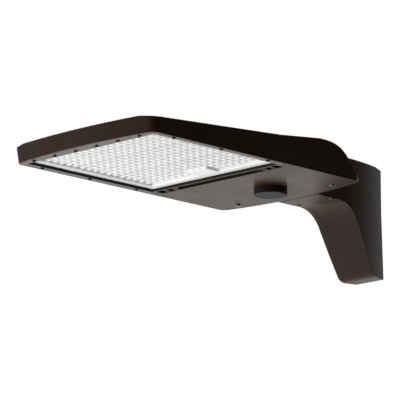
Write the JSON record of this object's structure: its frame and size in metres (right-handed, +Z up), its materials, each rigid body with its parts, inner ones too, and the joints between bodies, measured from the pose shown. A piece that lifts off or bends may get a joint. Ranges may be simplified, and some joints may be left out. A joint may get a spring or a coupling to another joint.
{
  "type": "shoebox area light",
  "caption": "Shoebox area light: shallow cast head with a recessed LED optic and a hinged driver door with a round sensor, on a cast arm that bolts flat to a square pole.",
  "frame": {"origin": "centre of the two pole bolt holes, on the flat back face of the arm", "axes": "-Y runs from the pole out to the nose of the head, +Z is up, +X is to the right seen from the nose with +Z up looking along +Y"},
  "size_m": [0.3628, 0.7734, 0.214],
  "materials": {
    "bronze_paint": "semi-gloss dark bronze powder coat over die-cast aluminium",
    "optic_clear": "clear moulded acrylic",
    "rubber_black": "matt silicone and EPDM seals",
    "screw_dark": "blackened stainless steel",
    "screw_bright": "plain stainless steel",
    "board_white": "white solder mask",
    "led_yellow": "phosphor face",
    "driver_case": "plain drawn can",
    "black_plastic": "moulded, slightly satin",
    "terminal_cream": "moulded nylon",
    "lead_red": "insulated wire",
    "lead_black": "jacketed cable"
  },
  "bodies": {
    "fixture": {"head_housing": "bronze_paint", "optic_frame": "bronze_paint", "optic_panel": "optic_clear", "optic_gasket": "rubber_black", "optic_screws": "screw_dark", "led_board_near": "board_white", "led_board_far": "board_white", "led_packages": "led_yellow", "led_driver": "driver_case", "driver_screws": "screw_bright", "surge_protector": "black_plastic", "terminal_block": "terminal_cream", "led_leads": "lead_red", "supply_leads": "lead_black", "hinge_pins": "screw_bright", "arm_body": "bronze_paint", "arm_gasket": "rubber_black", "arm_bolts": "screw_bright", "arm_washers": "screw_bright", "clamp_screws": "screw_bright"},
    "door": {"driver_door": "bronze_paint", "door_gasket": "rubber_black", "sensor_base": "black_plastic", "sensor_gasket": "rubber_black", "sensor_nut": "screw_bright"},
    "sensor_cap": {"sensor_cap": "black_plastic"},
    "screw_near": {"door_screw_near": "screw_bright"},
    "screw_far": {"door_screw_far": "screw_bright"}
  },
  "joints": [
    {"name": "door_hinge", "type": "hinge", "parent": "fixture", "child": "door", "pos_m": [0, -0.4136, 0.029], "axis": [-1, 0, 0], "range_deg": [0, 85]},
    {"name": "screw_near_turn", "type": "hinge", "parent": "door", "child": "screw_near", "pos_m": [0.119, -0.2366, 0.0235], "axis": [0, 0, -1], "range_deg": [0, 90]},
    {"name": "screw_far_turn", "type": "hinge", "parent": "door", "child": "screw_far", "pos_m": [-0.119, -0.2366, 0.0235], "axis": [0, 0, -1], "range_deg": [0, 90]},
    {"name": "sensor_twist", "type": "hinge", "parent": "door", "child": "sensor_cap", "pos_m": [0.018, -0.2941, 0.0235], "axis": [0, 0, -1], "range_deg": [0, 30]}
  ]
}
